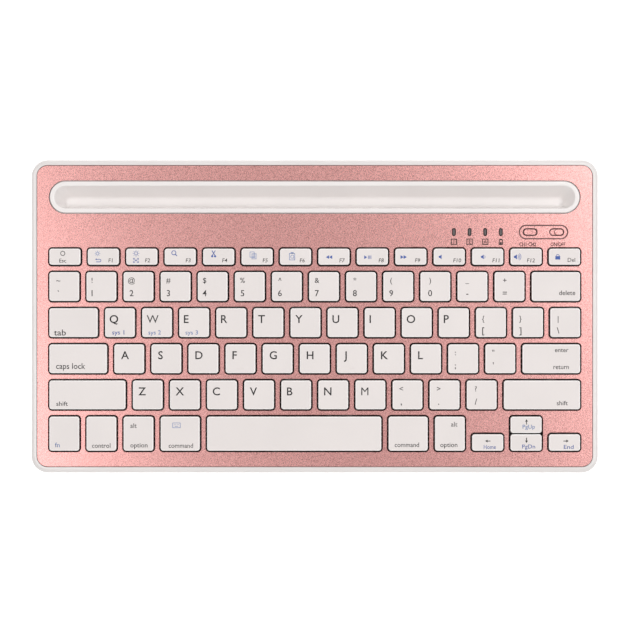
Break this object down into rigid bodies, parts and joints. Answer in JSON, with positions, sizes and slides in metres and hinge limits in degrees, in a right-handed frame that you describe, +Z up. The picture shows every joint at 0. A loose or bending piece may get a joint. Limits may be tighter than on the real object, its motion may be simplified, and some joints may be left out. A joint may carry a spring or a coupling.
{
  "type": "tablet stand keyboard",
  "caption": "Slim wedge-shaped wireless keyboard with a metallic deck, white keys and a long slot along the rear that holds a tablet upright.",
  "frame": {"origin": "centre of the footprint, on the surface the feet stand on", "axes": "+X to the typist's right, along the key rows; +Y away from the typist, towards the tablet slot; +Z up"},
  "size_m": [0.2908, 0.1602, 0.0191],
  "materials": {
    "white_case": "smooth, slightly warm white moulding",
    "cover_metallic": "satin rose-gold metallic coat with a fine speckle",
    "white_gloss": "glossy warm white moulding",
    "key_white": "satin warm white with black and blue printed legends",
    "foot_rubber": "matt pale grey",
    "plate_steel": "plain sheet",
    "membrane_film": "dark polyester sheets with printed silver tracks",
    "dome_rubber": "translucent silicone",
    "link_plastic": "natural white moulding",
    "bar_steel": "drawn wire",
    "board_green": "solder mask on glass-fibre board",
    "component_black": "moulded packages",
    "battery_foil": "foil pouch",
    "lead_red": "insulated wire",
    "socket_metal": "plated shell",
    "switch_metal": "plated shell",
    "lens_dark": "dark smoked windows",
    "screw_steel": "zinc plated"
  },
  "bodies": {
    "housing": {"bottom_case": "white_case", "top_cover": "cover_metallic", "slot_liner": "white_gloss", "rubber_feet": "foot_rubber", "support_plate": "plate_steel", "membrane_circuit": "membrane_film", "rubber_domes": "dome_rubber", "scissor_links": "link_plastic", "stabiliser_bars": "bar_steel", "circuit_board": "board_green", "board_components": "component_black", "battery_cell": "battery_foil", "battery_leads": "lead_red", "charging_socket": "socket_metal", "slide_switch_bodies": "switch_metal", "indicator_lenses": "lens_dark", "case_screws": "screw_steel"},
    "function_keys": {"function_keys": "key_white"},
    "key_a": {"key_a": "key_white"},
    "key_b": {"key_b": "key_white"},
    "key_c": {"key_c": "key_white"},
    "key_caps_lock": {"key_caps_lock": "key_white"},
    "key_d": {"key_d": "key_white"},
    "key_delete": {"key_delete": "key_white"},
    "key_down_arrow": {"key_down_arrow": "key_white"},
    "key_e": {"key_e": "key_white"},
    "key_f": {"key_f": "key_white"},
    "key_g": {"key_g": "key_white"},
    "key_h": {"key_h": "key_white"},
    "key_i": {"key_i": "key_white"},
    "key_j": {"key_j": "key_white"},
    "key_k": {"key_k": "key_white"},
    "key_l": {"key_l": "key_white"},
    "key_left_arrow": {"key_left_arrow": "key_white"},
    "key_left_shift": {"key_left_shift": "key_white"},
    "key_m": {"key_m": "key_white"},
    "key_n": {"key_n": "key_white"},
    "key_o": {"key_o": "key_white"},
    "key_p": {"key_p": "key_white"},
    "key_q": {"key_q": "key_white"},
    "key_r": {"key_r": "key_white"},
    "key_return": {"key_return": "key_white"},
    "key_right_arrow": {"key_right_arrow": "key_white"},
    "key_right_shift": {"key_right_shift": "key_white"},
    "key_s": {"key_s": "key_white"},
    "key_space": {"key_space": "key_white"},
    "key_t": {"key_t": "key_white"},
    "key_tab": {"key_tab": "key_white"},
    "key_u": {"key_u": "key_white"},
    "key_up_arrow": {"key_up_arrow": "key_white"},
    "key_v": {"key_v": "key_white"},
    "key_w": {"key_w": "key_white"},
    "key_x": {"key_x": "key_white"},
    "key_y": {"key_y": "key_white"},
    "key_z": {"key_z": "key_white"},
    "modifier_keys": {"modifier_keys": "key_white"},
    "number_keys": {"number_keys": "key_white"},
    "punctuation_keys": {"punctuation_keys": "key_white"},
    "channel_switch_knob": {"channel_switch_knob": "cover_metallic"},
    "power_switch_knob": {"power_switch_knob": "cover_metallic"}
  },
  "joints": [
    {"name": "function_keys_press", "type": "slide", "parent": "housing", "child": "function_keys", "axis": [0, 0.0698, -0.9976], "range_m": [0, 0.0018], "stiffness_N_per_m": 300, "springref_m": -0.0005, "deforming": ["rubber_domes", "scissor_links"]},
    {"name": "key_a_press", "type": "slide", "parent": "housing", "child": "key_a", "axis": [0, 0.0698, -0.9976], "range_m": [0, 0.0018], "stiffness_N_per_m": 300, "springref_m": -0.0005, "deforming": ["rubber_domes", "scissor_links"]},
    {"name": "key_b_press", "type": "slide", "parent": "housing", "child": "key_b", "axis": [0, 0.0698, -0.9976], "range_m": [0, 0.0018], "stiffness_N_per_m": 300, "springref_m": -0.0005, "deforming": ["rubber_domes", "scissor_links"]},
    {"name": "key_c_press", "type": "slide", "parent": "housing", "child": "key_c", "axis": [0, 0.0698, -0.9976], "range_m": [0, 0.0018], "stiffness_N_per_m": 300, "springref_m": -0.0005, "deforming": ["rubber_domes", "scissor_links"]},
    {"name": "key_caps_lock_press", "type": "slide", "parent": "housing", "child": "key_caps_lock", "axis": [0, 0.0698, -0.9976], "range_m": [0, 0.0018], "stiffness_N_per_m": 300, "springref_m": -0.0005, "deforming": ["rubber_domes", "scissor_links", "stabiliser_bars"]},
    {"name": "key_d_press", "type": "slide", "parent": "housing", "child": "key_d", "axis": [0, 0.0698, -0.9976], "range_m": [0, 0.0018], "stiffness_N_per_m": 300, "springref_m": -0.0005, "deforming": ["rubber_domes", "scissor_links"]},
    {"name": "key_delete_press", "type": "slide", "parent": "housing", "child": "key_delete", "axis": [0, 0.0698, -0.9976], "range_m": [0, 0.0018], "stiffness_N_per_m": 300, "springref_m": -0.0005, "deforming": ["rubber_domes", "scissor_links", "stabiliser_bars"]},
    {"name": "key_down_arrow_press", "type": "slide", "parent": "housing", "child": "key_down_arrow", "axis": [0, 0.0698, -0.9976], "range_m": [0, 0.0018], "stiffness_N_per_m": 300, "springref_m": -0.0005, "deforming": ["rubber_domes", "scissor_links"]},
    {"name": "key_e_press", "type": "slide", "parent": "housing", "child": "key_e", "axis": [0, 0.0698, -0.9976], "range_m": [0, 0.0018], "stiffness_N_per_m": 300, "springref_m": -0.0005, "deforming": ["rubber_domes", "scissor_links"]},
    {"name": "key_f_press", "type": "slide", "parent": "housing", "child": "key_f", "axis": [0, 0.0698, -0.9976], "range_m": [0, 0.0018], "stiffness_N_per_m": 300, "springref_m": -0.0005, "deforming": ["rubber_domes", "scissor_links"]},
    {"name": "key_g_press", "type": "slide", "parent": "housing", "child": "key_g", "axis": [0, 0.0698, -0.9976], "range_m": [0, 0.0018], "stiffness_N_per_m": 300, "springref_m": -0.0005, "deforming": ["rubber_domes", "scissor_links"]},
    {"name": "key_h_press", "type": "slide", "parent": "housing", "child": "key_h", "axis": [0, 0.0698, -0.9976], "range_m": [0, 0.0018], "stiffness_N_per_m": 300, "springref_m": -0.0005, "deforming": ["rubber_domes", "scissor_links"]},
    {"name": "key_i_press", "type": "slide", "parent": "housing", "child": "key_i", "axis": [0, 0.0698, -0.9976], "range_m": [0, 0.0018], "stiffness_N_per_m": 300, "springref_m": -0.0005, "deforming": ["rubber_domes", "scissor_links"]},
    {"name": "key_j_press", "type": "slide", "parent": "housing", "child": "key_j", "axis": [0, 0.0698, -0.9976], "range_m": [0, 0.0018], "stiffness_N_per_m": 300, "springref_m": -0.0005, "deforming": ["rubber_domes", "scissor_links"]},
    {"name": "key_k_press", "type": "slide", "parent": "housing", "child": "key_k", "axis": [0, 0.0698, -0.9976], "range_m": [0, 0.0018], "stiffness_N_per_m": 300, "springref_m": -0.0005, "deforming": ["rubber_domes", "scissor_links"]},
    {"name": "key_l_press", "type": "slide", "parent": "housing", "child": "key_l", "axis": [0, 0.0698, -0.9976], "range_m": [0, 0.0018], "stiffness_N_per_m": 300, "springref_m": -0.0005, "deforming": ["rubber_domes", "scissor_links"]},
    {"name": "key_left_arrow_press", "type": "slide", "parent": "housing", "child": "key_left_arrow", "axis": [0, 0.0698, -0.9976], "range_m": [0, 0.0018], "stiffness_N_per_m": 300, "springref_m": -0.0005, "deforming": ["rubber_domes", "scissor_links"]},
    {"name": "key_left_shift_press", "type": "slide", "parent": "housing", "child": "key_left_shift", "axis": [0, 0.0698, -0.9976], "range_m": [0, 0.0018], "stiffness_N_per_m": 300, "springref_m": -0.0005, "deforming": ["rubber_domes", "scissor_links", "stabiliser_bars"]},
    {"name": "key_m_press", "type": "slide", "parent": "housing", "child": "key_m", "axis": [0, 0.0698, -0.9976], "range_m": [0, 0.0018], "stiffness_N_per_m": 300, "springref_m": -0.0005, "deforming": ["rubber_domes", "scissor_links"]},
    {"name": "key_n_press", "type": "slide", "parent": "housing", "child": "key_n", "axis": [0, 0.0698, -0.9976], "range_m": [0, 0.0018], "stiffness_N_per_m": 300, "springref_m": -0.0005, "deforming": ["rubber_domes", "scissor_links"]},
    {"name": "key_o_press", "type": "slide", "parent": "housing", "child": "key_o", "axis": [0, 0.0698, -0.9976], "range_m": [0, 0.0018], "stiffness_N_per_m": 300, "springref_m": -0.0005, "deforming": ["rubber_domes", "scissor_links"]},
    {"name": "key_p_press", "type": "slide", "parent": "housing", "child": "key_p", "axis": [0, 0.0698, -0.9976], "range_m": [0, 0.0018], "stiffness_N_per_m": 300, "springref_m": -0.0005, "deforming": ["rubber_domes", "scissor_links"]},
    {"name": "key_q_press", "type": "slide", "parent": "housing", "child": "key_q", "axis": [0, 0.0698, -0.9976], "range_m": [0, 0.0018], "stiffness_N_per_m": 300, "springref_m": -0.0005, "deforming": ["rubber_domes", "scissor_links"]},
    {"name": "key_r_press", "type": "slide", "parent": "housing", "child": "key_r", "axis": [0, 0.0698, -0.9976], "range_m": [0, 0.0018], "stiffness_N_per_m": 300, "springref_m": -0.0005, "deforming": ["rubber_domes", "scissor_links"]},
    {"name": "key_return_press", "type": "slide", "parent": "housing", "child": "key_return", "axis": [0, 0.0698, -0.9976], "range_m": [0, 0.0018], "stiffness_N_per_m": 300, "springref_m": -0.0005, "deforming": ["rubber_domes", "scissor_links", "stabiliser_bars"]},
    {"name": "key_right_arrow_press", "type": "slide", "parent": "housing", "child": "key_right_arrow", "axis": [0, 0.0698, -0.9976], "range_m": [0, 0.0018], "stiffness_N_per_m": 300, "springref_m": -0.0005, "deforming": ["rubber_domes", "scissor_links"]},
    {"name": "key_right_shift_press", "type": "slide", "parent": "housing", "child": "key_right_shift", "axis": [0, 0.0698, -0.9976], "range_m": [0, 0.0018], "stiffness_N_per_m": 300, "springref_m": -0.0005, "deforming": ["rubber_domes", "scissor_links", "stabiliser_bars"]},
    {"name": "key_s_press", "type": "slide", "parent": "housing", "child": "key_s", "axis": [0, 0.0698, -0.9976], "range_m": [0, 0.0018], "stiffness_N_per_m": 300, "springref_m": -0.0005, "deforming": ["rubber_domes", "scissor_links"]},
    {"name": "key_space_press", "type": "slide", "parent": "housing", "child": "key_space", "axis": [0, 0.0698, -0.9976], "range_m": [0, 0.0018], "stiffness_N_per_m": 300, "springref_m": -0.0005, "deforming": ["rubber_domes", "scissor_links", "stabiliser_bars"]},
    {"name": "key_t_press", "type": "slide", "parent": "housing", "child": "key_t", "axis": [0, 0.0698, -0.9976], "range_m": [0, 0.0018], "stiffness_N_per_m": 300, "springref_m": -0.0005, "deforming": ["rubber_domes", "scissor_links"]},
    {"name": "key_tab_press", "type": "slide", "parent": "housing", "child": "key_tab", "axis": [0, 0.0698, -0.9976], "range_m": [0, 0.0018], "stiffness_N_per_m": 300, "springref_m": -0.0005, "deforming": ["rubber_domes", "scissor_links", "stabiliser_bars"]},
    {"name": "key_u_press", "type": "slide", "parent": "housing", "child": "key_u", "axis": [0, 0.0698, -0.9976], "range_m": [0, 0.0018], "stiffness_N_per_m": 300, "springref_m": -0.0005, "deforming": ["rubber_domes", "scissor_links"]},
    {"name": "key_up_arrow_press", "type": "slide", "parent": "housing", "child": "key_up_arrow", "axis": [0, 0.0698, -0.9976], "range_m": [0, 0.0018], "stiffness_N_per_m": 300, "springref_m": -0.0005, "deforming": ["rubber_domes", "scissor_links"]},
    {"name": "key_v_press", "type": "slide", "parent": "housing", "child": "key_v", "axis": [0, 0.0698, -0.9976], "range_m": [0, 0.0018], "stiffness_N_per_m": 300, "springref_m": -0.0005, "deforming": ["rubber_domes", "scissor_links"]},
    {"name": "key_w_press", "type": "slide", "parent": "housing", "child": "key_w", "axis": [0, 0.0698, -0.9976], "range_m": [0, 0.0018], "stiffness_N_per_m": 300, "springref_m": -0.0005, "deforming": ["rubber_domes", "scissor_links"]},
    {"name": "key_x_press", "type": "slide", "parent": "housing", "child": "key_x", "axis": [0, 0.0698, -0.9976], "range_m": [0, 0.0018], "stiffness_N_per_m": 300, "springref_m": -0.0005, "deforming": ["rubber_domes", "scissor_links"]},
    {"name": "key_y_press", "type": "slide", "parent": "housing", "child": "key_y", "axis": [0, 0.0698, -0.9976], "range_m": [0, 0.0018], "stiffness_N_per_m": 300, "springref_m": -0.0005, "deforming": ["rubber_domes", "scissor_links"]},
    {"name": "key_z_press", "type": "slide", "parent": "housing", "child": "key_z", "axis": [0, 0.0698, -0.9976], "range_m": [0, 0.0018], "stiffness_N_per_m": 300, "springref_m": -0.0005, "deforming": ["rubber_domes", "scissor_links"]},
    {"name": "modifier_keys_press", "type": "slide", "parent": "housing", "child": "modifier_keys", "axis": [0, 0.0698, -0.9976], "range_m": [0, 0.0018], "stiffness_N_per_m": 300, "springref_m": -0.0005, "deforming": ["rubber_domes", "scissor_links"]},
    {"name": "number_keys_press", "type": "slide", "parent": "housing", "child": "number_keys", "axis": [0, 0.0698, -0.9976], "range_m": [0, 0.0018], "stiffness_N_per_m": 300, "springref_m": -0.0005, "deforming": ["rubber_domes", "scissor_links"]},
    {"name": "punctuation_keys_press", "type": "slide", "parent": "housing", "child": "punctuation_keys", "axis": [0, 0.0698, -0.9976], "range_m": [0, 0.0018], "stiffness_N_per_m": 300, "springref_m": -0.0005, "deforming": ["rubber_domes", "scissor_links"]},
    {"name": "channel_switch_slide", "type": "slide", "parent": "housing", "child": "channel_switch_knob", "axis": [1, 0, 0], "range_m": [0, 0.0022]},
    {"name": "power_switch_slide", "type": "slide", "parent": "housing", "child": "power_switch_knob", "axis": [-1, 0, 0], "range_m": [0, 0.0022]}
  ]
}
